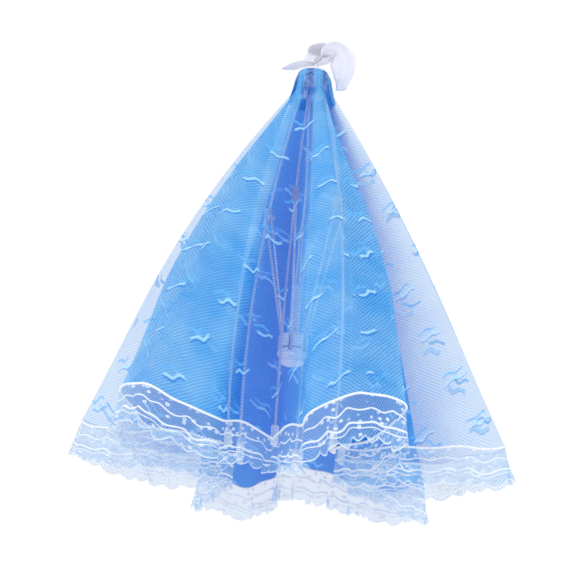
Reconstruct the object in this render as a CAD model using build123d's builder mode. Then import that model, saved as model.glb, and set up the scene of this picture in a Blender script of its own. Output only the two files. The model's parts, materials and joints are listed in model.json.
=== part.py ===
from build123d import *
from math import atan2, cos, hypot, radians, sin
import os

# Folding mesh food cover, modelled nearly folded.
# +Z is up, the origin is under the centre axis at the lowest edge of the hem lace.
# Rib 1 faces -Y; ribs 2 to 6 follow every 60 degrees towards +X.

# ---- driving dimensions, millimetres and degrees ----
RIBS = 6
HUB_Z = 330.918          # height of the rib pivots above the lowest lace edge
PIVOT_R = 8.0            # centre axis to the tie wires, at head and runner alike
RIB_CHORD = 304.0        # straight length of a rib wire
RIB_BOW = 15.5           # how far the wire bows outward of its chord
RIB_ANGLE = 7.0          # chord from vertical in the folded pose
WIRE_R = 0.95            # rib wire radius
RING_R = 0.6             # tie wire radius
RING_BEND_R = 1.5        # tie wire bend at each corner
LINK = 114.0             # hub pivot to clip pin, and clip pin to runner pivot
CLIP_DROP = 4.0          # pin centre inward of the rib wire
OPEN_SWING = 38.0        # rib swing from folded to open

# ---- head and runner ----
BODY_R = 11.5            # outer radius of both
SLOT_W = 3.0             # slot width for a wire eye
SLOT_IN_R = 5.7          # centre axis to a slot's inner end
SLOT_LEN = 10.0
HUB_SLOT_Z, HUB_SLOT_H = -6.0, 8.6       # slot bottom from the pivots, and height
RUN_SLOT_Z, RUN_SLOT_H = -2.6, 16.0
GROOVE_SIDE_GAP = 0.04   # groove floor clear of the tie wire
GROOVE_HALF_H = RING_R + 0.03
SOCKET_DEEP = 9.0        # hub guide tube end below the rib pivots
CORD_HOLE_R = 3.4        # hole through the head and its cap
STEM_R = 4.0             # runner stem
STEM_IN_R = 2.7
STEM_TOP = 50.0          # stem end above the runner pivots
STEM_FLOOR = -6.0        # socket floor from the runner pivots
STEM_FOOT = STEM_FLOOR + 0.05

# ---- cord, knot and ribbon ----
LOOP_R = 1.25            # bend radius of the doubled cord
CORD_R = 0.8             # doubled cord
PULL_CORD_R = 0.9        # single cord above the knot
CORD_END_DEPTH = 12.0    # cord ends below the stem's top
BEAD_DEPTH = 16.0        # bead bottom below the stem's top
BEAD_H = 4.5
KNOT_R = 2.3             # knot and bead alike
KNOT_GAP = 40.0          # knot above the stem end
KNOT_H = 4.6
KNOT_ROUND = 1.2
CORD_GAP = 0.05          # air between one cord piece and the next
BOW_RISE = 12.4          # ribbon datum above the rib pivots
RIBBON_T = 8.0

# ---- rib, clip, stretcher and tip ----
EYE_HALF_T = 1.3         # half thickness of the eyes on the tie wires
RIB_EYE_R = 2.1
RIB_EYE_GAP = 0.06       # rib eye round the tie wire
HOLE_REACH = 3.0         # eye holes are cut this far to each side
CLIP_LEN = 14.0
CLIP_W = 3.8
CLIP_ROUND = 1.0
CHEEK_R = 2.3
CLIP_HALF_T = 2.2
CLIP_GAP_HALF = 1.3      # half the gap for the stretcher's eye
CLIP_GAP_LEN = 16.0
CLIP_GAP_DEEP = 8.0
CLIP_WIRE_GAP = 0.08     # clip sleeve round the rib wire
CLIP_BORE_HALF = CLIP_LEN / 2 + 2
PIN_R = 0.7
PIN_HEAD_R = 1.3
PIN_HEAD_H = 0.6
PIN_HEAD_SUNK = 0.1      # heads start this far inside the cheeks
STRETCH_R = 0.9          # stretcher wire radius
PIN_EYE_R = 1.85
PIN_EYE_HALF_T = 1.18
PIN_EYE_GAP = 0.06
RUN_EYE_R = 2.0
RUN_EYE_GAP = 0.08
TIP_R = 2.9
TIP_LEN = 15.0
TIP_GRIP = 11.0          # wire length inside the tip
TIP_ROUND = 1.1
TIP_WIRE_GAP = 0.06
TIP_END_GAP = 0.15       # hole deeper than the wire reaches
TIP_LEAD = 1.0           # hole cut starts this far before the tip
FOOT_OFFSET = 2.3        # wire end to the tip's flat
FOOT_CUT = 20.0          # side and depth of the block that cuts the flat

# ---- cloth ----
GORE_ANGLE = 22.0        # angle between a rib and the middle of a gore, on the cloth
FOLD_ANGLE = 38.5        # how far each half gore stands from straight outward
NET_START = 46.0         # upper edge of the cloth, measured down the chord
NET_TOP_EDGE = 13.0      # chord to the far end of that upper edge
NET_LEN = 302.0          # mesh length along a rib, from the head to the piping
NET_TRIM = 1.0           # taken off the rib side at the hem
NET_OFF_CHORD = 4.6      # rib-side edge clear of the chord
GORE_LEN = 340.0         # mesh length along the middle of a gore
GORE_TRIM = 11.0         # taken off the half gore's width at the hem
NET_T = 0.5              # thickness of the cloth stand-ins
LACE_LEN = 28.0          # depth of the hem lace
LACE_GAP = 1.6           # hem to lace
LACE_CLOTH, LACE_DOWN = 0.62, 0.38       # how far the lace follows the cloth, and hangs

UP = Vector(0, 0, 1)

# ---- rib arc ----
# In a rib's radial plane: x is outward, y is up, and the hub pivot is (0, 0).
# A lean is an angle from straight down, positive outward; a turn is an angle along the arc.
chord_lean = radians(RIB_ANGLE)
end_x, end_y = RIB_CHORD * sin(chord_lean), -RIB_CHORD * cos(chord_lean)
mid_x = end_x / 2 + RIB_BOW * cos(chord_lean)
mid_y = end_y / 2 + RIB_BOW * sin(chord_lean)
half_arc = 2 * atan2(2 * RIB_BOW, RIB_CHORD)      # half the arc's opening angle
arc_r = RIB_CHORD / 2 / sin(half_arc)
centre_x = mid_x - arc_r * cos(chord_lean)
centre_y = mid_y - arc_r * sin(chord_lean)


def arc_point(turn):
    """Point on the rib arc and the lean of its downward tangent."""
    lean = chord_lean + half_arc - turn
    return centre_x + arc_r * cos(lean), centre_y + arc_r * sin(lean), lean


def clip_pin(turn):
    """Clip pin centre for a clip at this turn."""
    x, y, lean = arc_point(turn)
    return x - CLIP_DROP * cos(lean), y - CLIP_DROP * sin(lean)


def find_clip_turn():
    """Turn at which the clip pin is LINK away from the hub pivot, by bisection."""
    low, high = 0.0, 2 * half_arc
    for _ in range(60):
        turn = (low + high) / 2
        if hypot(*clip_pin(turn)) < LINK:
            low = turn
        else:
            high = turn
    return turn


clip_turn = find_clip_turn()
clip_x, clip_y, clip_lean = arc_point(clip_turn)
pin_x, pin_y = clip_pin(clip_turn)
link_lean = atan2(pin_x, -pin_y)                  # line from hub pivot to clip pin
back_x, back_y, _ = arc_point(2 * half_arc - TIP_GRIP / arc_r)   # where a tip begins

RUN_Z = HUB_Z - 2 * LINK * cos(link_lean)         # height of the runner pivots
STEM_Z = RUN_Z + STEM_TOP
KNOT_Z = STEM_Z + KNOT_GAP
BOW_Z = HUB_Z + BOW_RISE

# ---- outlines ----
# Turned profiles: radius, height above the piece's pivots.
HUB_PROFILE = [
    (CORD_HOLE_R, 5.0), (BODY_R - 1.2, 5.0), (BODY_R, 3.8), (BODY_R, -3.2),
    (BODY_R - 1.5, -4.7), (5.6, -4.7), (5.6, -SOCKET_DEEP), (4.9, -SOCKET_DEEP),
    (4.3, -SOCKET_DEEP + 0.8), (4.3, 2.0), (CORD_HOLE_R, 2.0),
]
CAP_PROFILE = [
    (CORD_HOLE_R, 5.4), (BODY_R - 0.8, 5.4), (BODY_R - 0.8, 6.8),
    (BODY_R - 2.6, 8.2), (4.4, 8.6), (CORD_HOLE_R, 7.8),
]
CROWN_PROFILE = [
    (0, -12.0), (7.6, -12.0), (9.4, -10.4), (9.8, -7.0), (BODY_R, -4.6), (BODY_R, 9.8),
    (BODY_R - 1.2, 11.0), (STEM_R + 0.03, 11.0), (STEM_R + 0.03, STEM_FLOOR), (0, STEM_FLOOR),
]
STEM_PROFILE = [
    (STEM_IN_R, STEM_FOOT), (STEM_R, STEM_FOOT), (STEM_R, STEM_TOP - 1.2),
    (STEM_R - 0.6, STEM_TOP), (3.0, STEM_TOP), (STEM_IN_R, STEM_TOP - 0.6),
]
# Bow outline: x, height above BOW_Z. Pointed tail towards -X, broad lobe towards +X.
RIBBON_OUTLINE = [
    (-4.0, 0.0), (-25.0, -6.0), (-27.0, -2.0), (-8.0, 4.5), (-6.0, 14.0), (-1.0, 21.0),
    (9.0, 21.0), (18.0, 15.0), (25.0, 6.0), (27.0, -8.0), (22.5, -20.0), (15.5, -17.0),
    (14.0, 0.0),
]


def lifted(outline, height):
    """The outline's points with height added to their second value."""
    return [(x, height + y) for x, y in outline]


def save(builder, name):
    builder.part.label = name
    export_step(builder.part, f"parts/{name}.step")


# ---------------------------------------------------------------- head, runner and cord
# Rounded hexagon the tie wires are wound on.
core_inset = RING_R + GROOVE_SIDE_GAP
with BuildSketch() as ring_core:
    RegularPolygon((PIVOT_R - core_inset) / cos(radians(30)), 6, rotation=0)
    fillet(ring_core.vertices(), radius=RING_BEND_R - core_inset)


def slotted_body(profile, pivot_z, slot_z, slot_height):
    """Turned body with a slot for each rib and a groove for the tie wire."""
    with BuildPart() as body:
        with BuildSketch(Plane.XZ):
            with BuildLine():
                Polyline(*lifted(profile, pivot_z), close=True)
            make_face()
        revolve(axis=Axis.Z)
        with BuildSketch(Plane.XY.offset(pivot_z + slot_z)):
            with PolarLocations(SLOT_IN_R + SLOT_LEN / 2, RIBS, start_angle=-90):
                Rectangle(SLOT_LEN, SLOT_W)
        extrude(amount=slot_height, mode=Mode.SUBTRACT)
        # groove: everything outside the rounded hexagon
        with BuildSketch(Plane.XY.offset(pivot_z - GROOVE_HALF_H)):
            Circle(BODY_R + 2)
            add(ring_core.sketch, mode=Mode.SUBTRACT)
        extrude(amount=2 * GROOVE_HALF_H, mode=Mode.SUBTRACT)
    return body


def turned(profile, pivot_z):
    """Plain turned piece."""
    with BuildPart() as piece:
        with BuildSketch(Plane.XZ):
            with BuildLine():
                Polyline(*lifted(profile, pivot_z), close=True)
            make_face()
        revolve(axis=Axis.Z)
    return piece


def tie_wire(pivot_z):
    """Hexagonal wire ring: six straight runs, one through each eye."""
    corner_r = PIVOT_R / cos(radians(30))
    angles = [radians(60 * i) for i in range(6)]
    corners = [(corner_r * cos(angle), corner_r * sin(angle)) for angle in angles]
    with BuildPart() as ring:
        with BuildLine(Plane.XY.offset(pivot_z)) as path:
            FilletPolyline(*corners, radius=RING_BEND_R, close=True)
        with BuildSketch(Plane(origin=path.line @ 0, z_dir=path.line % 0)):
            Circle(RING_R)
        sweep(path=path.line)
    return ring


def make_cord_loop():
    """Doubled cord: up out of a bead inside the stem, round a tight bend under the knot."""
    end_z = STEM_Z - CORD_END_DEPTH
    top_z = KNOT_Z - CORD_R - CORD_GAP
    bend_z = top_z - LOOP_R
    with BuildPart() as loop:
        with BuildLine(Plane.XZ) as path:
            Line((-LOOP_R, end_z), (-LOOP_R, bend_z))
            ThreePointArc((-LOOP_R, bend_z), (0, top_z), (LOOP_R, bend_z))
            Line((LOOP_R, bend_z), (LOOP_R, end_z))
        with BuildSketch(Plane(origin=(-LOOP_R, 0, end_z), z_dir=(0, 0, 1))):
            Circle(CORD_R)
        sweep(path=path.line)
        # bead that holds both ends in the tube
        with BuildSketch(Plane.XY.offset(STEM_Z - BEAD_DEPTH)):
            Circle(KNOT_R)
        extrude(amount=BEAD_H)
    return loop


def make_knot():
    with BuildPart() as knot:
        with BuildSketch(Plane.XY.offset(KNOT_Z)):
            Circle(KNOT_R)
        extrude(amount=KNOT_H)
        fillet(knot.edges(), radius=KNOT_ROUND)
    return knot


def make_pull_cord():
    """Single cord from the knot up to the ribbon."""
    start_z = KNOT_Z + KNOT_H + CORD_GAP
    with BuildPart() as cord:
        with BuildSketch(Plane.XY.offset(start_z)):
            Circle(PULL_CORD_R)
        extrude(amount=BOW_Z - CORD_GAP - start_z)
    return cord


def make_ribbon():
    with BuildPart() as ribbon:
        with BuildSketch(Plane.XZ.offset(-RIBBON_T / 2)):
            with BuildLine():
                Polyline(*lifted(RIBBON_OUTLINE, BOW_Z), close=True)
            make_face()
        extrude(amount=RIBBON_T)
    return ribbon


# ---------------------------------------------------------------- pieces of one rib
class RibFrame:
    """Directions and places in the radial plane of one rib."""

    def __init__(self, index):
        azimuth = radians(360 / RIBS * index)
        self.out = Vector(sin(azimuth), -cos(azimuth), 0)     # outward
        self.side = Vector(cos(azimuth), sin(azimuth), 0)     # towards the next rib
        self.turn_axis = self.out.cross(UP)
        self.pivot = self.out * PIVOT_R + UP * HUB_Z

    def at(self, x, y):
        return self.pivot + self.out * x + UP * y

    def down(self, lean):
        """Unit vector pointing down, leaning outward."""
        return self.out * sin(lean) - UP * cos(lean)


def make_rib(frame):
    """Bowed wire with a flattened eye at the hub."""
    radial = Plane(origin=frame.pivot, x_dir=frame.out, z_dir=frame.turn_axis)
    with BuildPart() as rib:
        with BuildLine(radial) as path:
            ThreePointArc((0, 0), (mid_x, mid_y), (end_x, end_y))
        with BuildSketch(Plane(origin=path.line @ 0, z_dir=path.line % 0)):
            Circle(WIRE_R)
        sweep(path=path.line)
        with BuildSketch(radial):
            Circle(RIB_EYE_R)
        extrude(amount=EYE_HALF_T, both=True)
        with BuildSketch(radial):
            Circle(RING_R + RIB_EYE_GAP)
        extrude(amount=HOLE_REACH, both=True, mode=Mode.SUBTRACT)
    return rib


def make_clip(frame):
    """Crimped bracket: sleeve round the wire, two cheeks and the pin."""
    down = frame.down(clip_lean)
    centre = frame.at(clip_x, clip_y)
    # x runs down the wire, y inward
    clip_plane = Plane(origin=centre, x_dir=down, z_dir=frame.turn_axis * -1)
    with BuildPart() as clip:
        with BuildSketch(clip_plane):
            RectangleRounded(CLIP_LEN, CLIP_W, CLIP_ROUND)
            with Locations((0, CLIP_DROP / 2)):
                Rectangle(2 * CHEEK_R, CLIP_DROP)
            with Locations((0, CLIP_DROP)):
                Circle(CHEEK_R)
        extrude(amount=CLIP_HALF_T, both=True)
        # gap for the stretcher's eye
        with BuildSketch(clip_plane):
            with Locations((0, CLIP_W / 2 + CLIP_GAP_DEEP / 2)):
                Rectangle(CLIP_GAP_LEN, CLIP_GAP_DEEP)
        extrude(amount=CLIP_GAP_HALF, both=True, mode=Mode.SUBTRACT)
        # way through for the rib wire
        with BuildSketch(Plane(origin=centre - down * CLIP_BORE_HALF, z_dir=down)):
            Circle(WIRE_R + CLIP_WIRE_GAP)
        extrude(amount=2 * CLIP_BORE_HALF, mode=Mode.SUBTRACT)
        # pin with two small heads
        with BuildSketch(clip_plane):
            with Locations((0, CLIP_DROP)):
                Circle(PIN_R)
        extrude(amount=CLIP_HALF_T, both=True)
        for end in (1, -1):
            head_dir = frame.turn_axis * end
            head_base = frame.at(pin_x, pin_y) + head_dir * (CLIP_HALF_T - PIN_HEAD_SUNK)
            with BuildSketch(Plane(origin=head_base, z_dir=head_dir)):
                Circle(PIN_HEAD_R)
            extrude(amount=PIN_HEAD_H)
    return clip


def make_stretcher(frame):
    """Straight wire from the clip pin down to the runner, with an eye at each end."""
    pin = frame.at(pin_x, pin_y)
    run_dir = frame.down(-link_lean)
    pin_plane = Plane(origin=pin, z_dir=frame.turn_axis)
    run_plane = Plane(origin=pin + run_dir * LINK, z_dir=frame.turn_axis)
    eyes = ((pin_plane, PIN_EYE_R, PIN_EYE_HALF_T), (run_plane, RUN_EYE_R, EYE_HALF_T))
    holes = ((pin_plane, PIN_R + PIN_EYE_GAP), (run_plane, RING_R + RUN_EYE_GAP))
    with BuildPart() as stretcher:
        with BuildSketch(Plane(origin=pin, z_dir=run_dir)):
            Circle(STRETCH_R)
        extrude(amount=LINK)
        for plane, radius, half_thickness in eyes:
            with BuildSketch(plane):
                Circle(radius)
            extrude(amount=half_thickness, both=True)
        for plane, radius in holes:
            with BuildSketch(plane):
                Circle(radius)
            extrude(amount=HOLE_REACH, both=True, mode=Mode.SUBTRACT)
    return stretcher


def make_tip(frame):
    """Moulded tip: blind hole over the wire's end, and a flat that meets the table when open."""
    back = frame.at(back_x, back_y)
    wire_end = frame.at(end_x, end_y)
    tip_dir = (wire_end - back).normalized()
    foot_normal = frame.down(-radians(OPEN_SWING))
    with BuildPart() as tip:
        with BuildSketch(Plane(origin=back, z_dir=tip_dir)):
            Circle(TIP_R)
        extrude(amount=TIP_LEN)
        fillet(tip.edges().filter_by(GeomType.CIRCLE), radius=TIP_ROUND)
        with BuildSketch(Plane(origin=back - tip_dir * TIP_LEAD, z_dir=tip_dir)):
            Circle(WIRE_R + TIP_WIRE_GAP)
        extrude(amount=TIP_LEAD + TIP_GRIP + TIP_END_GAP, mode=Mode.SUBTRACT)
        with BuildSketch(Plane(origin=wire_end + foot_normal * FOOT_OFFSET, z_dir=foot_normal)):
            Rectangle(FOOT_CUT, FOOT_CUT)
        extrude(amount=FOOT_CUT, mode=Mode.SUBTRACT)
    return tip


def cloth_sheet(plane, outline):
    """Flat sheet of cloth thickness, centred on the plane."""
    with BuildPart() as sheet:
        with BuildSketch(plane):
            with BuildLine():
                Polyline(*outline, close=True)
            make_face()
        extrude(amount=NET_T / 2, both=True)
    return sheet


def make_cloth(frame, sign):
    """Half gore and its lace; sign is 1 towards the next rib, -1 towards the previous."""
    gore, fold = radians(GORE_ANGLE), radians(FOLD_ANGLE)
    chord = frame.down(chord_lean)
    face_out = frame.out * cos(chord_lean) + UP * sin(chord_lean)
    across = face_out * cos(fold) + frame.side * (sign * sin(fold))
    rib_hem = NET_LEN - NET_TRIM
    hem_x, hem_y = GORE_LEN * cos(gore), GORE_LEN * sin(gore) - GORE_TRIM
    net = cloth_sheet(
        Plane(origin=frame.pivot, x_dir=chord, z_dir=chord.cross(across)),
        [(NET_START, NET_OFF_CHORD), (rib_hem, NET_OFF_CHORD),
         (hem_x, hem_y), (NET_START, NET_TOP_EDGE)],
    )

    # lace hangs from the hem, steeper than the cloth above it
    rib_end = frame.pivot + chord * (rib_hem + LACE_GAP) + across * NET_OFF_CHORD
    gore_end = frame.pivot + chord * (hem_x + LACE_GAP) + across * hem_y
    along = (gore_end - rib_end).normalized()
    hem_mid = chord * cos(gore / 2) + across * sin(gore / 2)
    drop = (hem_mid * LACE_CLOTH - UP * LACE_DOWN).normalized()
    plane = Plane(origin=rib_end, x_dir=along, z_dir=along.cross(drop).normalized())
    shift, fall = drop.dot(along) * LACE_LEN, drop.dot(plane.y_dir) * LACE_LEN
    width = (gore_end - rib_end).length
    lace = cloth_sheet(plane, [(0, 0), (width, 0), (width + shift, fall), (shift, fall)])
    return net, lace


# ---------------------------------------------------------------- build and write
os.makedirs("parts", exist_ok=True)

save(slotted_body(HUB_PROFILE, HUB_Z, HUB_SLOT_Z, HUB_SLOT_H), "top_hub")
save(turned(CAP_PROFILE, HUB_Z), "hub_cap")       # pinches the gathered mesh on the head
save(tie_wire(HUB_Z), "hub_wire_ring")
save(slotted_body(CROWN_PROFILE, RUN_Z, RUN_SLOT_Z, RUN_SLOT_H), "runner_crown")
save(tie_wire(RUN_Z), "runner_wire_ring")
save(turned(STEM_PROFILE, RUN_Z), "runner_stem")  # tube pressed into the crown
save(make_cord_loop(), "cord_loop")
save(make_knot(), "cord_knot")
save(make_pull_cord(), "pull_cord")
save(make_ribbon(), "pull_ribbon")

for index in range(RIBS):
    number = index + 1
    frame = RibFrame(index)
    save(make_rib(frame), f"rib_{number}")
    save(make_clip(frame), f"rib_clip_{number}")
    save(make_stretcher(frame), f"stretcher_{number}")
    save(make_tip(frame), f"rib_tip_{number}")
    for half, sign in (("a", -1), ("b", 1)):
        net, lace = make_cloth(frame, sign)
        save(net, f"net_half_{number}{half}")
        save(lace, f"lace_half_{number}{half}")
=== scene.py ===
"""Looks of a hanging canopy of knitted net with a lace hem, on six ribs.

The ribs stand round the Z axis and hang from pivots on the hub; Z is up, units are metres.
Gore n lies between rib n and rib n + 1, and each half of it belongs to its own rib: side b of
a rib is the counter-clockwise one seen from above, side a the other. The cord and the
ribbon hang on the Z axis and ride the runner.
"""
import bmesh
import bpy
import json
import math
import numpy as np
from collections import namedtuple
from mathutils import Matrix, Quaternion, Vector


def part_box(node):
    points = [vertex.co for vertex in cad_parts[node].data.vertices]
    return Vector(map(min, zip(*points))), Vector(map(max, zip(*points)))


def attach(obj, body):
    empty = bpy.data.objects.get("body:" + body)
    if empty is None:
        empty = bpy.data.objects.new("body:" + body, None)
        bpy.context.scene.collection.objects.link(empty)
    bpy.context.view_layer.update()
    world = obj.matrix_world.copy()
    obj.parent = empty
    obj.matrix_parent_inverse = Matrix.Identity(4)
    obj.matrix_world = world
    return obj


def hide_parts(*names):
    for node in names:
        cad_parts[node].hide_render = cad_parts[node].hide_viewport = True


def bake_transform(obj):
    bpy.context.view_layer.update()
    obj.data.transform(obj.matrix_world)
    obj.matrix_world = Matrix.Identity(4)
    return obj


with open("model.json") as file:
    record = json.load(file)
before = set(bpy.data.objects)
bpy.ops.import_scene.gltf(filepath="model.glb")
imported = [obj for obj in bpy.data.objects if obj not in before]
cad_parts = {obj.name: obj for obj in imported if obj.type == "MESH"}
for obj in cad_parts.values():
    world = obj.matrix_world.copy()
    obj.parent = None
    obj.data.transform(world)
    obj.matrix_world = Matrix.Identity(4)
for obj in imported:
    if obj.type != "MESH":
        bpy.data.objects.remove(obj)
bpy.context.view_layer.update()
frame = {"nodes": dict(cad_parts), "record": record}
record = frame["record"]
joints = {joint["name"]: joint for joint in record["behaviour"]["joints"]}
couplings = {c["joint"]: c["ratio"] for c in record["behaviour"]["couplings"]}
rng = np.random.default_rng(7)

RIBS = 6
HALF_GORE = math.pi / RIBS                  # angle from a rib to the middle of a gore
PIVOT_X, PIVOT_Y, HUB_Z = joints["rib_1_swing"]["pos_m"]
PIVOT_RADIUS = math.hypot(PIVOT_X, PIVOT_Y)
SWING = math.radians(joints["rib_1_swing"]["range_deg"][1])
FOLD = SWING * couplings["cloth_1b_fold"]
CHORD = 0.304                               # rib length, pivot to tip
RIB_BOW = 0.0155                            # how far a rib bows out from its chord
NET_OFFSET = 0.0026                         # net outside the rib's middle line
TIP_OFFSET = 0.0012                         # further out near the rib's tip
# distances from the rib's pivot
NET_START = 0.014
RIB_HEM = 0.3045
MIDDLE_HEM = 0.3405
LACE_DEPTH = 0.028


# ------------------------------------------------------------------ node graphs
def math_node(operation, swapped=False):
    """Method that adds a Math node; swapped puts the signal itself second."""
    def apply(self, *others):
        values = (self, *others)
        return self.graph.math(operation, *(values[::-1] if swapped else values))
    return apply


class Signal:
    """A node's output; arithmetic on it adds nodes to its graph."""

    __add__ = math_node("ADD")
    __radd__ = math_node("ADD", swapped=True)
    __sub__ = math_node("SUBTRACT")
    __rsub__ = math_node("SUBTRACT", swapped=True)
    __mul__ = math_node("MULTIPLY")
    __truediv__ = math_node("DIVIDE")
    __mod__ = math_node("FLOORED_MODULO")
    __abs__ = math_node("ABSOLUTE")
    remainder = math_node("MODULO")
    floor = math_node("FLOOR")
    sine = math_node("SINE")
    larger = math_node("MAXIMUM")
    smaller = math_node("MINIMUM")

    def __init__(self, graph, socket):
        self.graph = graph
        self.socket = socket

    def clamped(self):
        self.socket.node.use_clamp = True
        return self

    def ramp(self, low, high, start=0.0, end=1.0):
        """Smooth step from start, at low, to end, at high."""
        node = self.graph.node("ShaderNodeMapRange", interpolation_type="SMOOTHSTEP")
        for socket, value in zip(node.inputs, (self, low, high, start, end)):
            self.graph.feed(socket, value)
        return Signal(self.graph, node.outputs[0])

    def fall(self, low, high):
        """Smooth step down from 1, at low, to 0, at high."""
        return self.ramp(low, high, start=1.0, end=0.0)


class Graph:
    """Node graph of a new material."""

    def __init__(self, name):
        self.material = bpy.data.materials.new(name)
        self.material.use_nodes = True
        self.tree = self.material.node_tree
        self.shader = self.tree.nodes["Principled BSDF"]

    def node(self, kind, **settings):
        node = self.tree.nodes.new(kind)
        for key, value in settings.items():
            setattr(node, key, value)
        return node

    def source(self, kind, output=0, **settings):
        return Signal(self, self.node(kind, **settings).outputs[output])

    def feed(self, socket, value):
        if isinstance(value, Signal):
            self.tree.links.new(value.socket, socket)
        else:
            socket.default_value = value

    def math(self, operation, *values):
        node = self.node("ShaderNodeMath", operation=operation)
        for socket, value in zip(node.inputs, values):
            self.feed(socket, value)
        return Signal(self, node.outputs[0])

    def noise(self, vector, scale, detail=2.0, roughness=0.5):
        node = self.node("ShaderNodeTexNoise")
        self.feed(node.inputs["Vector"], vector)
        self.feed(node.inputs["Scale"], scale)
        self.feed(node.inputs["Detail"], detail)
        self.feed(node.inputs["Roughness"], roughness)
        return Signal(self, node.outputs[0])

    def mix(self, factor, first, second):
        """Mix of two colours."""
        node = self.node("ShaderNodeMix", data_type="RGBA")
        for index, value in ((0, factor), (6, first), (7, second)):
            self.feed(node.inputs[index], value)
        return Signal(self, node.outputs[2])

    def mix_numbers(self, factor, first, second):
        node = self.node("ShaderNodeMix", data_type="FLOAT")
        for index, value in ((0, factor), (2, first), (3, second)):
            self.feed(node.inputs[index], value)
        return Signal(self, node.outputs[0])

    def bump(self, height, strength, distance):
        node = self.node("ShaderNodeBump")
        self.feed(node.inputs["Height"], height)
        self.feed(node.inputs["Strength"], strength)
        self.feed(node.inputs["Distance"], distance)
        self.feed(self.shader.inputs["Normal"], Signal(self, node.outputs[0]))

    def surface(self, inputs):
        for name, value in inputs.items():
            self.feed(self.shader.inputs[name], value)

    def cloth_mm(self):
        """UV, then millimetres across (u) and down (v) the cloth; a UV unit is 100 mm."""
        uv = self.source("ShaderNodeUVMap", uv_map="cloth")
        split = self.node("ShaderNodeSeparateXYZ")
        self.feed(split.inputs[0], uv)
        u, v = (Signal(self, split.outputs[axis]) * 100.0 for axis in (0, 1))
        return uv, u, v


def srgb(red, green, blue):
    """Linear colour from 0-255 sRGB values."""
    def linear(c):
        return (c / 255) / 12.92 if c <= 10 else ((c / 255 + 0.055) / 1.055) ** 2.4
    return (linear(red), linear(green), linear(blue), 1.0)


# ------------------------------------------------------------------ materials
def knit(u, v, pitch_u, pitch_v, solid, clear):
    """Open knit of two families of slanting threads, fading from solid to clear."""
    a = u * (math.pi / pitch_u)
    b = v * (math.pi / pitch_v)
    rising = abs((a + b).sine())
    falling = abs((a - b).sine())
    return rising.smaller(falling).fall(solid, clear)


def sprigs(g, uv, u, v):
    """Pairs of wavy slanted dashes on a staggered grid (mm): upper, lower, and a painted shadow
    line just below the upper dash.
    """
    width, height = 42.0, 36.0
    row = (v / height).floor()
    stagger = row.remainder(2.0) * (width / 2)
    jitter_u = (g.noise(uv, scale=3.3, detail=1.0) - 0.5) * 16.0
    jitter_v = (g.noise(uv, scale=5.1, detail=2.0) - 0.5) * 7.0
    across = (u + stagger) % width - width / 2 + jitter_u
    down = v % height - height / 2 + jitter_v
    wave = (across * 0.55 + row * 2.1).sine() * 1.0
    slant = down + across * 0.34
    # distance from each dash's middle line
    first = abs(slant + wave - 2.6)
    second = abs(slant - wave + 2.9)
    # where along the row each dash shows
    first_span = abs(across - 2.0).fall(7.0, 10.0)
    second_span = abs(across + 3.0).fall(6.0, 9.0)
    dash_1 = first.fall(0.7, 1.7) * first_span
    dash_2 = second.fall(0.7, 1.6) * second_span
    # painted shadow of the upper dash: a darker line 1.8 mm below it
    dash_shadow = abs(slant + wave - 4.4).fall(0.5, 1.3) * first_span
    return dash_1, dash_2, dash_shadow


def net_material(name, front=(0.34, 0.17), panel_gain=(0.18, 0.29), back=(0.32, 0.64),
                 edge_loss=(0.10, 0.34), edge_span=(0.55, 1.05),
                 inner_low=(22, 116, 226), inner_high=(62, 152, 238), painted_glow=0.10):
    """Knitted net. Each pair is a cover for (threads, film between them): of the outer face,
    what a panel adds to it, of the inner face, and what that loses towards the gore's middle."""
    g = Graph(name)
    uv, u, v = g.cloth_mm()
    wobble = (g.noise(uv, scale=9.0, detail=1.0) - 0.5) * 3.0
    threads = knit(u + wobble, v, pitch_u=3.2, pitch_v=2.2, solid=0.22, clear=0.52)
    dash_1, dash_2, dash_shadow = sprigs(g, uv, u, v)
    dashes = dash_1.larger(dash_2)
    tone = g.noise(uv, scale=2.2, detail=3.0)
    inside = g.source("ShaderNodeNewGeometry", "Backfacing")
    # 0 at a rib, 1 at the middle of the gore
    share = abs(u) / (v.larger(20.0) * 0.42)

    outer = g.mix(tone.ramp(0.3, 0.7), srgb(84, 174, 238), srgb(132, 198, 243))
    outer = g.mix(share.ramp(0.20, 0.55), srgb(42, 138, 236), outer)
    inner = g.mix(tone.ramp(0.3, 0.7), srgb(*inner_low), srgb(*inner_high))
    # the film between the threads of the inner face is painted darker: painted shade seen through
    # the holes
    hole = tuple(0.4 * c for c in srgb(*inner_low)[:3]) + (1.0,)
    inner = g.mix((1.0 - threads) * 0.75, inner, hole)
    # the sprigs' painted shadow line, mixed in as darker blue
    colour = g.mix(dash_shadow * 0.8, g.mix(inside, outer, inner), srgb(44, 124, 214))
    colour = g.mix(dash_1, g.mix(dash_2, colour, srgb(104, 182, 240)), srgb(166, 220, 250))

    edge = share.ramp(*edge_span)
    panel = share.ramp(0.26, 0.58) * (1.0 - edge * 0.35)
    front_cover = (threads * (front[0] + panel * panel_gain[0])
                   + (front[1] + panel * panel_gain[1]))
    back_cover = (threads * (back[0] - edge * edge_loss[0])
                  + (back[1] - edge * edge_loss[1])).clamped()
    cover = g.mix_numbers(inside, front_cover, back_cover)
    alpha = cover.larger(dashes.larger(dash_shadow * 0.75) * 0.78).clamped()
    g.surface({
        "Base Color": colour,
        "Emission Color": colour,           # painted glow: emission in the cloth's own colour, standing in for daylight coming through the threads
        "Emission Strength": painted_glow,
        "Alpha": alpha,
        "Roughness": 0.55,
        "Specular IOR Level": 0.04,
        "Sheen Weight": 0.04,
        "Sheen Roughness": 0.4,
        "Sheen Tint": srgb(150, 210, 255),
    })
    g.bump(threads, strength=0.35, distance=0.0004)
    return g.material


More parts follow.
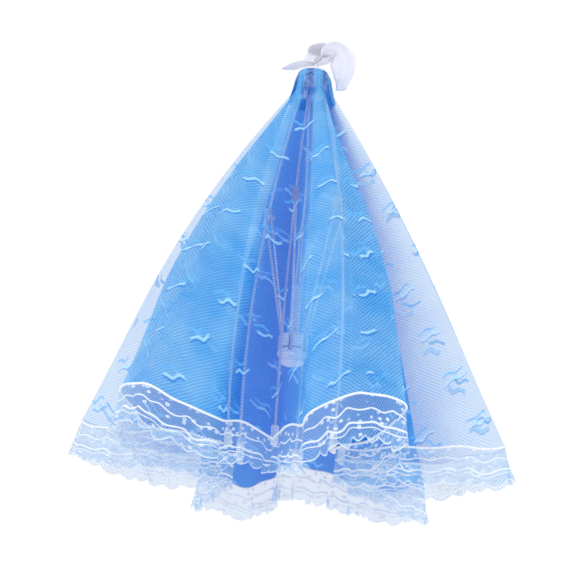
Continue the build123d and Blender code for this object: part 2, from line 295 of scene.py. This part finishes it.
def lace_material():
    """Hem lace; v runs from 0 at the piping to 28 mm at the free edge."""
    g = Graph("hem_lace_look")
    uv, u, v = g.cloth_mm()
    wave = (u * 0.33).sine() * 0.9
    wavy_v = v + (wave + (g.noise(uv, scale=7.0, detail=1.0) - 0.5) * 3.4)
    ground = knit(u, v, pitch_u=1.9, pitch_v=2.3, solid=0.20, clear=0.50)
    # cords along the hem: (place, half width) in mm
    lines = [abs(wavy_v - place).fall(half * 0.5, half * 1.5)
             for place, half in ((8.4, 0.5), (16.6, 0.7), (19.8, 0.38))]
    cords = lines[0].larger(lines[1]).larger(lines[2])

    # small filled leaves, each with an eyelet
    stretched = g.node("ShaderNodeCombineXYZ")
    g.feed(stretched.inputs[0], u * 0.16)
    g.feed(stretched.inputs[1], v * 0.26)
    cell = g.node("ShaderNodeTexVoronoi", feature="F1")
    g.feed(cell.inputs["Vector"], Signal(g, stretched.outputs[0]))
    g.feed(cell.inputs["Scale"], 1.0)
    g.feed(cell.inputs["Randomness"], 0.7)
    distance = Signal(g, cell.outputs["Distance"])
    leaves = distance.fall(0.22, 0.40)
    eyelet = distance.fall(0.06, 0.12)
    fill = leaves * (1.0 - eyelet)

    # scalloped free edge: 11 mm scallops, 3.2 mm deep
    depth = (24.6 + abs((u * (math.pi / 11.0)).sine()) * 3.2) - v
    inside = depth.ramp(0.0, 0.5)
    rim = depth.fall(0.6, 1.8) * inside

    alpha = (ground * 0.70).larger(fill * 0.82)
    alpha = alpha.larger(cords * 0.86)
    alpha = (alpha + 0.08).larger(rim * 0.9)
    tone = g.noise(uv, scale=3.0, detail=2.0)
    tint = g.mix(tone, srgb(132, 184, 234), srgb(180, 214, 244))
    white = cords.larger(rim.larger(fill * 0.75))
    g.surface({
        "Base Color": g.mix(white, tint, srgb(236, 244, 253)),
        "Alpha": (alpha * inside).clamped(),
        "Roughness": 0.5,
        "Specular IOR Level": 0.15,
        "Sheen Weight": 0.1,
    })
    g.bump(cords.larger(fill), strength=0.4, distance=0.0005)
    return g.material


def solid_material(name, low, high, rough=(0.35, 0.5), metal=0.0, scale=60.0, bump=0.15,
                   bump_distance=0.0002, coat=0.0, stretch=None, sheen=0.0, subsurface=0.0):
    """Opaque material with two mottled tones and a fine grain, drawn out by stretch."""
    g = Graph(name)
    place = g.source("ShaderNodeTexCoord", "Object")
    if stretch:
        mapping = g.node("ShaderNodeMapping")
        g.feed(mapping.inputs["Scale"], stretch)
        g.feed(mapping.inputs["Vector"], place)
        place = Signal(g, mapping.outputs[0])
    broad = g.noise(place, scale, detail=3.0)
    fine = g.noise(place, scale * 9, detail=2.0, roughness=0.6)
    g.surface({
        "Base Color": g.mix(broad.ramp(0.35, 0.65), srgb(*low), srgb(*high)),
        "Roughness": fine.ramp(0.3, 0.7, *rough),
        "Metallic": metal,
        "Coat Weight": coat,
        "Sheen Weight": sheen,
    })
    if subsurface:
        g.surface({"Subsurface Weight": subsurface, "Subsurface Radius": (0.003, 0.003, 0.003)})
    g.bump(fine, strength=bump, distance=bump_distance)
    return g.material


def satin_material():
    g = Graph("ribbon_satin_look")
    uv, u, v = g.cloth_mm()
    weft = abs((v * (math.pi / 0.5)).sine())
    warp = abs((u * (math.pi / 0.9) + v * 0.8).sine())
    weave = weft * 0.6 + warp * 0.4
    inside = g.source("ShaderNodeNewGeometry", "Backfacing")
    outer = g.mix(g.noise(uv, scale=12.0, detail=3.0), srgb(228, 228, 242), srgb(242, 242, 250))
    # the back face is painted darker: painted shade, as inside the loop
    inner = g.mix(g.noise(uv, scale=9.0, detail=3.0), srgb(206, 198, 206), srgb(226, 220, 226))
    g.surface({
        "Base Color": g.mix(inside, outer, inner),
        "Roughness": weave.ramp(0.0, 1.0, start=0.28, end=0.42),
        "Anisotropic": 0.6,
        "Sheen Weight": 0.5,
    })
    g.bump(weave, strength=0.12, distance=0.0001)
    return g.material


def cord_material():
    g = Graph("cord_look")
    uv, u, v = g.cloth_mm()
    ply = abs((v * (math.pi / 1.6) + u * (math.pi / 2.6)).sine())
    fuzz = g.noise(uv, scale=60.0, detail=3.0)
    # darker in the grooves between the strands and lighter on their crests: painted shade
    tone = g.mix(ply * 0.8, srgb(206, 216, 234), srgb(250, 251, 254))
    g.surface({
        "Base Color": g.mix(fuzz * 0.25, tone, srgb(225, 232, 246)),
        "Roughness": 0.7,
        "Sheen Weight": 0.4,
    })
    g.bump(ply, strength=0.6, distance=0.0003)
    return g.material


NET = net_material("mesh_cloth_look")
# net of the far gores, seen deep inside the canopy: denser, like gathered layers, and with
# brighter inner colours and a stronger painted glow that paint light into its shade
NET_DEEP = net_material(
    "mesh_cloth_gathered_lit_look", back=(0.10, 0.88), edge_loss=(0.0, 0.0),
    inner_low=(24, 138, 240), inner_high=(54, 162, 248), painted_glow=0.24)
NET_SHEER = net_material(
    "mesh_cloth_single_look", front=(0.34, 0.14), panel_gain=(0.04, 0.0),
    edge_loss=(0.10, 0.52), edge_span=(0.12, 0.85))
LACE = lace_material()
SATIN = satin_material()
CORD = cord_material()
PLASTIC = solid_material(
    "white_plastic_look", low=(226, 232, 242), high=(244, 246, 250), rough=(0.28, 0.42),
    scale=90, bump=0.12, coat=0.15, subsurface=0.15)
STEM = solid_material(
    "stem_plastic_look", low=(214, 226, 244), high=(236, 242, 250), rough=(0.2, 0.35),
    scale=70, bump=0.1, coat=0.2, stretch=(1, 1, 0.15), subsurface=0.2)
STEEL = solid_material(
    "steel_wire_look", low=(204, 208, 228), high=(236, 236, 248), rough=(0.22, 0.42),
    metal=0.25, scale=120, bump=0.2, stretch=(1, 1, 0.08))
BRACKET = solid_material(
    "bracket_look", low=(204, 192, 208), high=(228, 218, 230), rough=(0.3, 0.5),
    metal=0.15, scale=150, bump=0.25)
PIPING = solid_material(
    "piping_look", low=(236, 243, 252), high=(252, 253, 255), rough=(0.5, 0.7),
    scale=300, bump=0.6, bump_distance=0.0003, sheen=0.4)

HARD_LOOKS = {"white_plastic": PLASTIC, "stem_plastic": STEM, "steel_wire": STEEL,
              "bracket": BRACKET}
LOOKS = {**HARD_LOOKS, "cord": CORD, "ribbon": SATIN, "mesh_cloth": NET, "hem_lace": LACE}


def dress_cad_pieces():
    """Give every CAD piece its material, and the hard ones soft edges."""
    slots = {part["node"]: part["material_slot"] for part in record["subparts"]}
    for name, piece in frame["nodes"].items():
        piece.data.materials.clear()
        piece.data.materials.append(LOOKS[slots[name]])
        if slots[name] in HARD_LOOKS:
            bevel = piece.modifiers.new("soft_edges", "BEVEL")
            bevel.width = 0.00018
            bevel.segments = 2
            bevel.limit_method = "ANGLE"
            bevel.angle_limit = math.radians(35)
            bevel.harden_normals = False


# ------------------------------------------------------------------ mesh helpers
def smooth(x, start=0.0, end=1.0):
    x = np.clip((x - start) / (end - start), 0, 1)
    return x * x * (3 - 2 * x)


def unit(vectors):
    return vectors / np.linalg.norm(vectors, axis=-1, keepdims=True)


def arc_length(points):
    """Running length along each line of points, from 0."""
    steps = np.linalg.norm(np.diff(points, axis=-2), axis=-1)
    return np.concatenate([np.zeros(steps.shape[:-1] + (1,)), np.cumsum(steps, axis=-1)], -1)


def grid_mesh(name, points, uv, material, closed=False, thickness=0.0, flip=False):
    """Sheet from rows x columns points with uv in mm; closed joins the last column to the
    first, flip turns the faces round."""
    rows, columns = points.shape[:2]
    flat_uv = uv.reshape(-1, 2) / 100.0
    faces, face_uv = [], []
    for i in range(rows - 1):
        for j in range(columns if closed else columns - 1):
            k = (j + 1) % columns
            above, below = i * columns, (i + 1) * columns
            quad = (above + j, above + k, below + k, below + j)
            if flip:
                quad = quad[::-1]
            faces.append(quad)
            face_uv.extend(flat_uv[list(quad)])
    mesh = bpy.data.meshes.new(name)
    mesh.from_pydata(points.reshape(-1, 3).tolist(), [], faces)
    layer = mesh.uv_layers.new(name="cloth")
    layer.data.foreach_set("uv", np.array(face_uv, np.float32).ravel())
    mesh.polygons.foreach_set("use_smooth", [True] * len(mesh.polygons))
    mesh.update()
    sheet = bpy.data.objects.new(name, mesh)
    bpy.context.scene.collection.objects.link(sheet)
    mesh.materials.append(material)
    if thickness:
        solidify = sheet.modifiers.new("cloth_thickness", "SOLIDIFY")
        solidify.thickness = thickness
        solidify.offset = 0
    return sheet


def close_ends(mesh, rings, sides):
    edit = bmesh.new()
    edit.from_mesh(mesh)
    edit.verts.ensure_lookup_table()
    edit.faces.new([edit.verts[k] for k in reversed(range(sides))])
    edit.faces.new([edit.verts[(rings - 1) * sides + k] for k in range(sides)])
    edit.to_mesh(mesh)
    edit.free()


def tube_mesh(name, path, radius, material, sides, twist, ply):
    """Twisted cord round a path: ply is the depth of the strands as a share of the radius,
    twist their turn in radians per metre."""
    tangents = unit(np.gradient(path, axis=0))
    steep = abs(tangents[0, 2]) >= 0.8
    reference = np.array([0.0, 1.0, 0.0] if steep else [0.0, 0.0, 1.0])
    run = arc_length(path)
    angles = np.linspace(0, 2 * math.pi, sides, endpoint=False)
    first = unit(np.cross(reference, tangents[0]))
    rings, uv = [], []
    for centre, tangent, along in zip(path, tangents, run):
        first = unit(first - tangent * (first @ tangent))
        second = np.cross(tangent, first)
        r = radius * (1 + ply * np.abs(np.cos(angles + along * twist)) - ply * 0.5)
        rings.append(centre + np.outer(r * np.cos(angles), first)
                     + np.outer(r * np.sin(angles), second))
        uv.append(np.stack([angles * radius * 1000, np.full(sides, along * 1000)], 1))
    tube = grid_mesh(name, np.array(rings), np.array(uv), material, closed=True)
    close_ends(tube.data, len(path), sides)
    return tube


# ------------------------------------------------------------------ canopy
ROWS, COLUMNS = ((84, 56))
DOWN = np.linspace(0, 1, ROWS)              # share of the way from the head to the hem
turn = np.linspace(0, 1, COLUMNS) * math.pi / 2
# share of the way from rib to gore middle: finer towards the rib and towards the middle
ACROSS = 0.5 * (1 - np.cos(turn * 0.999)) + 0.5 * np.sin(turn)
ACROSS = (ACROSS - ACROSS[0]) / (ACROSS[-1] - ACROSS[0])
HEM_STEPS = 170
LACE_ROWS = 22

# lift: hem pulled up at the gore's middle; billow: slack blown out above it;
# extra_lace: share by which the lace reaches further down
Gore = namedtuple("Gore", "cloth lift billow extra_lace")
GORES = {
    1: Gore(NET, 0.016, 0.003, 0.27),
    2: Gore(NET_SHEER, 0.010, 0.005, 0.0),
    3: Gore(NET_DEEP, 0.000, 0.003, 0.0),
    4: Gore(NET_DEEP, 0.000, 0.003, 0.0),
    5: Gore(NET_SHEER, 0.018, 0.011, 0.0),
    6: Gore(NET, 0.018, 0.008, 0.10),
}
BULGE = 0.0165
# how far each half bulges, as a share of BULGE; gores 1 and 6 are given one by one
fullness = {(n, side): 1.0 + 0.18 * rng.uniform(-1, 1)
            for n in range(1, RIBS + 1) for side in "ab"}
fullness.update({(1, "b"): 1.15, (2, "a"): 1.9, (6, "b"): 1.7, (1, "a"): 1.0})

# waves of the folds that run down from the head: rate across, drift down, height
FOLD_WAVES = ((9.5, 1.5, 0.9), (17.0, -2.2, 0.55), (29.0, 5.0, 0.22))
FOLD_HEIGHT = 0.0021

# gathered top of the net: share of the way down, radius, height over the hub's pivots
COLLAR = np.array([
    (0.00, 0.0098, 0.00522), (0.12, 0.0122, 0.0050), (0.30, 0.0131, 0.0010),
    (0.55, 0.0138, -0.0060), (0.80, 0.0153, -0.0130), (1.00, 0.0172, -0.0200),
])
COLLAR_REACH = 37                           # degrees to each side of its rib

# out: level, away from the axis; around: level, counter-clockwise from above;
# chord: down the rib; face: outward, square to the chord; tilt: chord from straight down
Rib = namedtuple("Rib", "number pivot out around chord face tilt")


def rib_frame(number):
    pivot = np.array(joints[f"rib_{number}_swing"]["pos_m"])
    out = unit(np.array([pivot[0], pivot[1], 0.0]))
    around = np.array([-out[1], out[0], 0.0])
    chord = -np.array(joints[f"cloth_{number}b_fold"]["axis"], float)
    tilt = math.acos(-chord[2])
    face = out * math.cos(tilt) + np.array([0.0, 0.0, math.sin(tilt)])
    return Rib(number, pivot, out, around, chord, face, tilt)


def ridge_line(tilt, distance):
    """Middle of a gore at these distances from the pivot, as (along chord, outward, sideways).

    Both halves meet there at rest (tilt a) and open (tilt b, cloth folded by F).
    With T = tan(HALF_GORE), R = PIVOT_RADIUS, out X and side Y:
      rest: Y = T (R + x sin a) + T cos a X
      open: Y cos F + X sin F = T (R + x sin b) + T cos b (X cos F - Y sin F)
    """
    slope = math.tan(HALF_GORE)
    open_tilt = tilt + SWING
    open_slope = slope * math.cos(open_tilt)
    cos_fold, sin_fold = math.cos(FOLD), math.sin(FOLD)
    along = np.linspace(-0.002, 0.36, 400)
    factors = np.array([
        [-slope * math.cos(tilt), 1.0],
        [sin_fold - open_slope * cos_fold, cos_fold + open_slope * sin_fold],
    ])
    constants = np.stack([slope * (PIVOT_RADIUS + along * math.sin(tilt)),
                          slope * (PIVOT_RADIUS + along * math.sin(open_tilt))])
    outward, sideways = np.linalg.solve(factors, constants)
    reach = np.sqrt(along ** 2 + outward ** 2 + sideways ** 2)
    order = np.argsort(reach)
    return np.stack([np.interp(distance, reach[order], line[order])
                     for line in (along, outward, sideways)], -1)


def net_grid(rib, sign, gore, full, seed):
    """Points and uv (mm) of half a gore: rows run down, columns from the rib to the middle."""
    rib_distance = NET_START + DOWN * (RIB_HEM - NET_START)
    middle_distance = NET_START + DOWN * (MIDDLE_HEM - gore.lift - NET_START)
    t = np.clip(rib_distance / CHORD, 0, 1)
    rib_out = 4 * RIB_BOW * t * (1 - t) + NET_OFFSET + TIP_OFFSET * smooth(t, 0.9, 0.96)
    middle = ridge_line(rib.tilt, middle_distance)
    puff = gore.billow * np.sin(math.pi * DOWN ** 0.8) ** 1.2
    middle_out = middle[:, 1] + puff * math.cos(HALF_GORE) * math.cos(rib.tilt)
    middle_side = middle[:, 2] + puff * math.sin(HALF_GORE)

    # straight from the rib to the gore's middle
    w = ACROSS[None, :]
    s = DOWN[:, None]
    gap_out = (middle_out - rib_out)[:, None]
    gap_side = middle_side[:, None]
    outward = rib_out[:, None] * (1 - w) + middle_out[:, None] * w
    sideways = gap_side * w

    # pushed out square to that line by the bulge and the folds
    gap = np.hypot(gap_out, gap_side) + 1e-9
    profile = np.sin(np.clip(w / 0.66, 0, 1) * math.pi / 2) ** 1.3 * np.sqrt(1 - w ** 9)
    bulge = BULGE * full * smooth(s, -0.05, 0.75) ** 1.1 * profile
    envelope = np.sin(w * math.pi) ** 0.7
    waves = sum(height * np.sin(w * rate + phase + drift * s)
                for (rate, drift, height), phase in zip(FOLD_WAVES, seed))
    rumple = np.sin(s * 13 + seed[3] + 4 * w) * np.sin(w * 7 + seed[4]) * 0.6
    push = bulge + FOLD_HEIGHT * envelope * s ** 1.2 * (waves + rumple)
    outward = outward + gap_side / gap * push
    sideways = np.maximum(sideways - gap_out / gap * push, 0.0)

    # distance from the pivot; the hem line rises and dips a little
    blend = smooth(w)
    distance = rib_distance[:, None] * (1 - blend) + middle_distance[:, None] * blend
    dips = 0.0035 * np.sin(w * 6 + seed[5]) + 0.0015 * np.sin(w * 15 + seed[0])
    distance = distance + s ** 6 * envelope * dips
    along = np.sqrt(np.maximum(distance ** 2 - outward ** 2 - sideways ** 2, 1e-9))
    points = (rib.pivot + along[..., None] * rib.chord + outward[..., None] * rib.face
              + sign * sideways[..., None] * rib.around)
    uv = np.stack([arc_length(points) * 1000 * sign, distance * 1000], -1)
    return points, uv


def hem_line(net):
    """Even points along a net's lower edge, their running length, and the way down there."""
    hem = net[-1]
    down = unit(hem - net[-5])
    run = arc_length(hem)
    even = np.linspace(0, run[-1], HEM_STEPS)
    points, down = (np.stack([np.interp(even, run, line[:, axis]) for axis in range(3)], -1)
                    for line in (hem, down))
    return points, even, down


def lace_grid(rib, sign, gore, seed, hem, run, down):
    """Points and uv (mm) of the ruffled lace under a hem line."""
    mm = run * 1000
    along = unit(np.gradient(hem, axis=0))
    outward = unit(np.cross(along, down) * sign)
    drop = down * 0.45 + np.array([0, 0, -0.62])
    drop -= along * np.sum(drop * along, axis=1)[:, None]
    # neighbours meet: the lace hangs in the rib's plane at the rib, and in the gore's
    # middle plane at the middle
    drop -= rib.around * ((drop @ rib.around) * (1 - smooth(mm, 0, 30)))[:, None]
    middle = -math.sin(HALF_GORE) * rib.out + math.cos(HALF_GORE) * sign * rib.around
    drop -= middle * ((drop @ middle) * smooth(mm, mm[-1] - 30, mm[-1]))[:, None]
    drop = unit(drop)
    q = np.linspace(0, 1, LACE_ROWS)[:, None]
    end_fade = smooth(mm, 0, 7) * smooth(mm[-1] - mm, 0, 7)
    ruffle = (0.0030 * np.sin(mm / 4.1 + seed[1]) + 0.0016 * np.sin(mm / 2.3 + seed[2])) * end_fade
    depth = LACE_DEPTH * (1 + gore.extra_lace * smooth(mm, 0, 40)) * q
    points = hem + drop * depth[..., None] + outward * (q ** 1.4 * ruffle)[..., None]
    uv = np.stack(np.broadcast_arrays(mm * sign, q * LACE_DEPTH * 1000), -1)
    return points, uv


def build_half(rib, side, sign):
    """Net, lace and piping of one half gore."""
    seed = rng.uniform(0, 100, 6)
    gore = GORES[rib.number if side == "b" else (rib.number - 2) % RIBS + 1]
    tag = f"{rib.number}{side}"

    points, uv = net_grid(rib, sign, gore, fullness[rib.number, side], seed)
    net = grid_mesh(f"net_{tag}", points, uv, gore.cloth, flip=sign > 0)
    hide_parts(f"net_half_{tag}")
    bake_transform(net)

    hem, run, down = hem_line(points)
    points, uv = lace_grid(rib, sign, gore, seed, hem, run, down)
    lace = grid_mesh(f"lace_{tag}", points, uv, LACE, flip=sign > 0)
    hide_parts(f"lace_half_{tag}")
    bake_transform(lace)

    piping = tube_mesh(f"piping_{tag}", hem, radius=0.00085,
                       material=PIPING, sides=7, twist=900.0, ply=0.18)
    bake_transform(piping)


def build_collar(rib):
    """Gathered top of the net, from under the cap over the hub's edge."""
    rows, columns = ((20, 64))
    q = np.linspace(0, 1, rows)[:, None]
    angle = np.radians(np.linspace(-COLLAR_REACH, COLLAR_REACH, columns))[None, :]
    share, radii, heights = COLLAR.T
    pleats = (0.0008 * np.sin(angle * 26 + rib.number * 1.7) * smooth(q, 0.1, 0.6)
              + 0.0005 * np.sin(angle * 57 + rib.number) * smooth(q, 0.2, 1))
    # every other collar lies further out, so that their overlaps stay apart
    overlap = 0.0012 * (rib.number % 2) * smooth(q, 0.1, 0.4)
    radius = np.interp(q, share, radii) + pleats + overlap
    height = HUB_Z + np.interp(q, share, heights)
    points = ((radius * np.cos(angle))[..., None] * rib.out
              + (radius * np.sin(angle))[..., None] * rib.around
              + height[..., None] * np.array([0, 0, 1.0]))
    uv = np.stack(np.broadcast_arrays(angle * 16.0, q * 36.0), -1)
    collar = grid_mesh(f"net_gather_{rib.number}", points, uv, NET, flip=True)
    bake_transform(collar)


def build_canopy():
    for number in range(1, RIBS + 1):
        rib = rib_frame(number)
        build_half(rib, "a", -1.0)
        build_half(rib, "b", 1.0)
        build_collar(rib)


# ------------------------------------------------------------------ cord
def add_cord(name, replaced, path, radius, sides, twist, ply):
    cord = tube_mesh(name, path, radius, CORD, sides, twist, ply)
    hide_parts(replaced)
    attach(cord, "runner")


def build_cord():
    """Single cord with a slight sway, the doubled cord and the overhand knot."""
    knot_low, knot_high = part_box("cord_knot")
    low, high = (corner.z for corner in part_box("pull_cord"))
    loop_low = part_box("cord_loop")[0].z + 0.004
    loop_high = knot_low.z + 0.0006

    z = np.linspace(low - 0.0012, high + 0.004, 90)
    sway = (0.0011 * np.sin((z - low) * 48)
            * smooth(z, low, low + 0.01) * (1 - smooth(z, high - 0.02, high)))
    path = np.stack([sway, 0.5 * sway * np.cos(z * 60), z], -1)
    add_cord("cord_main", "pull_cord", path, radius=0.00088, sides=12, twist=1500.0, ply=0.3)

    # up one side and down the other, drawn together under the knot
    rise = np.linspace(0, 1, 70)
    z = loop_low + (loop_high - loop_low) * np.concatenate([rise, rise[::-1]])
    x = np.repeat([-0.00125, 0.00125], 70) * (1 - 0.75 * smooth(z, loop_high - 0.004, loop_high))
    x = x * (1 + 0.25 * np.sin((z - loop_low) * 120))
    path = np.stack([x, 0.0003 * np.sin(z * 200), z], -1)
    add_cord("cord_doubled", "cord_loop", path, radius=0.00074, sides=10, twist=1700.0, ply=0.3)

    # trefoil
    k = np.linspace(0, 2 * math.pi, 90)
    path = np.stack([(np.sin(k) + 2 * np.sin(2 * k)) * 0.00052,
                     -np.sin(3 * k) * 0.00085,
                     (np.cos(k) - 2 * np.cos(2 * k)) * 0.00058], -1)
    path = path + np.array((knot_low + knot_high) / 2)
    add_cord("cord_overhand", "cord_knot", path, radius=0.00082, sides=10, twist=1500.0, ply=0.25)


# ------------------------------------------------------------------ ribbon
RIBBON_STEPS, RIBBON_COLUMNS = 60, 12
BOW_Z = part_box("pull_ribbon")[0].z + 0.0200     # height of the bow's knot
# Stations of each strip: x, y, z above BOW_Z, width, lean of the width from Y (radians).
# Widths and leans are spread evenly along the strip, whatever the gaps between the places.
RIBBON_LOOP = [
    (0.001, 0.0, 0.001, 0.006, 0.3), (-0.006, -0.001, 0.008, 0.013, 0.5),
    (-0.003, -0.002, 0.0125, 0.016, 0.6), (0.006, -0.001, 0.0135, 0.017, 0.55),
    (0.014, 0.0, 0.010, 0.015, 0.5), (0.012, 0.001, 0.005, 0.011, 0.4),
    (0.002, 0.0, 0.001, 0.006, 0.3),
]
RIBBON_LOBE = [
    (0.001, -0.002, 0.002, 0.007, 0.8), (0.009, -0.004, 0.0085, 0.015, 0.9),
    (0.0185, -0.005, 0.0080, 0.021, 1.0), (0.0250, -0.004, -0.001, 0.023, 1.05),
    (0.0262, -0.003, -0.012, 0.020, 1.0), (0.0240, -0.002, -0.0225, 0.013, 0.9),
]
RIBBON_TAIL = [
    (0.000, 0.001, 0.001, 0.006, 0.9), (-0.008, -0.001, 0.001, 0.0085, 1.0),
    (-0.016, -0.002, -0.0015, 0.0085, 0.9), (-0.0255, -0.002, -0.0035, 0.0012, 0.8),
]
RIBBON_WRAP = [
    (0.0045, 0.0005, 0.0045, 0.006, 1.4), (0.0005, -0.0042, 0.0040, 0.0065, 1.4),
    (-0.0042, 0.0, 0.0035, 0.006, 1.4), (-0.0002, 0.0042, 0.0040, 0.006, 1.4),
    (0.0042, 0.0004, 0.0044, 0.006, 1.4),
]


def catmull_rom(keys, shares):
    """Smooth path through the keys, at these shares of the length of the straight runs."""
    knots = arc_length(keys)
    knots /= knots[-1]
    extended = np.vstack([2 * keys[0] - keys[1], keys, 2 * keys[-1] - keys[-2]])
    points = []
    for share in shares:
        m = min(np.searchsorted(knots, share, side="right") - 1, len(keys) - 2)
        f = (share - knots[m]) / (knots[m + 1] - knots[m])
        p0, p1, p2, p3 = extended[m:m + 4]
        points.append(0.5 * (2 * p1 + (p2 - p0) * f + (2 * p0 - 5 * p1 + 4 * p2 - p3) * f * f
                             + (3 * p1 - p0 - 3 * p2 + p3) * f ** 3))
    return np.array(points)


def ribbon(name, stations, cup):
    """Strip of satin through the stations; cup curls its edges, as a share of the width."""
    stations = np.array(stations)
    shares = np.linspace(0, 1, RIBBON_STEPS)
    path = catmull_rom(stations[:, :3] + np.array([0, 0, BOW_Z]), shares)
    tangents = unit(np.gradient(path, axis=0))
    spread = np.linspace(0, 1, len(stations))
    width = np.interp(shares, spread, stations[:, 3])
    lean = np.interp(shares, spread, stations[:, 4])
    across = np.stack([np.sin(lean), -np.cos(lean), np.sin(lean) * 0.6], -1)
    across = unit(across - tangents * np.sum(across * tangents, axis=1)[:, None])
    normal = np.cross(tangents, across)
    c = np.linspace(-1, 1, RIBBON_COLUMNS)[None]
    curl = cup * c ** 2 * width[:, None] + 0.0003 * np.sin(c * 9 + shares[:, None] * 14)
    points = (path[:, None] + across[:, None] * (width[:, None] * c / 2)[..., None]
              + normal[:, None] * curl[..., None])
    length = arc_length(path)[:, None] * 1000
    uv = np.stack(np.broadcast_arrays(c * width.mean() * 500, length), -1)
    strip = grid_mesh(name, points, uv, SATIN, thickness=0.00025)
    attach(strip, "runner")
    return strip


def build_bow():
    loop = ribbon("ribbon_loop", RIBBON_LOOP, cup=0.05)
    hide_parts("pull_ribbon")
    ribbon("ribbon_lobe", RIBBON_LOBE, cup=0.07)
    ribbon("ribbon_tail", RIBBON_TAIL, cup=0.05)
    ribbon("ribbon_wrap", RIBBON_WRAP, cup=-0.03)


# ------------------------------------------------------------------ stage
FLOOR_Z = -1.5                              # far down, so that views from below stay clear
FLOOR_HALF = 30
LIGHT_TARGET = Vector((0, 0, 0.16))
# name, place, power in watts, size
LIGHTS = (
    ("key", (-0.9, -1.4, 1.3), 6.0, 1.2),
    ("fill", (1.5, -1.0, 0.4), 3.0, 1.4),
    ("back", (0.3, 1.6, 0.9), 3.0, 1.4),
)


def add_object(name, data):
    thing = bpy.data.objects.new(name, data)
    bpy.context.scene.collection.objects.link(thing)
    return thing


def add_floor():
    mesh = bpy.data.meshes.new("floor")
    corners = [(x * FLOOR_HALF, y * FLOOR_HALF, FLOOR_Z)
               for x, y in ((-1, -1), (1, -1), (1, 1), (-1, 1))]
    mesh.from_pydata(corners, [], [(0, 1, 2, 3)])
    floor = add_object("floor", mesh)
    g = Graph("floor_look")
    tone = g.noise(g.source("ShaderNodeTexCoord", "Object"), scale=3.0)
    g.surface({
        "Base Color": g.mix(tone, srgb(250, 250, 251), srgb(254, 254, 255)),
        "Roughness": 0.9,
    })
    mesh.materials.append(g.material)


def add_lights():
    world = bpy.data.worlds.new("studio")
    bpy.context.scene.world = world
    world.use_nodes = True
    background = world.node_tree.nodes["Background"]
    background.inputs["Color"].default_value = (1, 1, 1, 1)
    background.inputs["Strength"].default_value = 1.02
    for name, place, power, size in LIGHTS:
        light = bpy.data.lights.new(name, "AREA")
        light.energy = power
        light.size = size
        lamp = add_object(name, light)
        lamp.location = place
        aim = LIGHT_TARGET - Vector(place)
        lamp.rotation_euler = aim.to_track_quat("-Z", "Y").to_euler()


def add_camera():
    """Camera on the -Y side, a little towards +X, looking up from below."""
    azimuth, elevation, roll = math.radians(11), math.radians(-16), math.radians(4.4)
    view_width = 0.461                      # width seen at the hub's distance
    hub_right, hub_up = 0.02000868, 0.16647222      # the hub from the middle of the view
    data = bpy.data.cameras.new("cam")
    data.lens = 100
    data.sensor_width = 36
    camera = add_object("cam", data)
    back = Vector((math.sin(azimuth) * math.cos(elevation),
                   -math.cos(azimuth) * math.cos(elevation),
                   math.sin(elevation)))
    turn = (-back).to_track_quat("-Z", "Y") @ Quaternion((0, 0, 1), roll)
    camera.rotation_mode = "QUATERNION"
    camera.rotation_quaternion = turn
    target = (Vector((0, 0, HUB_Z)) - turn @ Vector((1, 0, 0)) * hub_right
              - turn @ Vector((0, 1, 0)) * hub_up)
    camera.location = target + back * (view_width * data.lens / data.sensor_width)
    bpy.context.scene.camera = camera


def set_render():
    scene = bpy.context.scene
    scene.view_settings.view_transform = "Standard"
    scene.view_settings.look = "None"
    # scene.cycles is missing while the Cycles add-on is off
    try:
        scene.cycles.transparent_max_bounces = 48
    except AttributeError:
        pass


dress_cad_pieces()
build_canopy()
build_cord()
build_bow()
add_floor()
add_lights()
set_render()
add_camera()
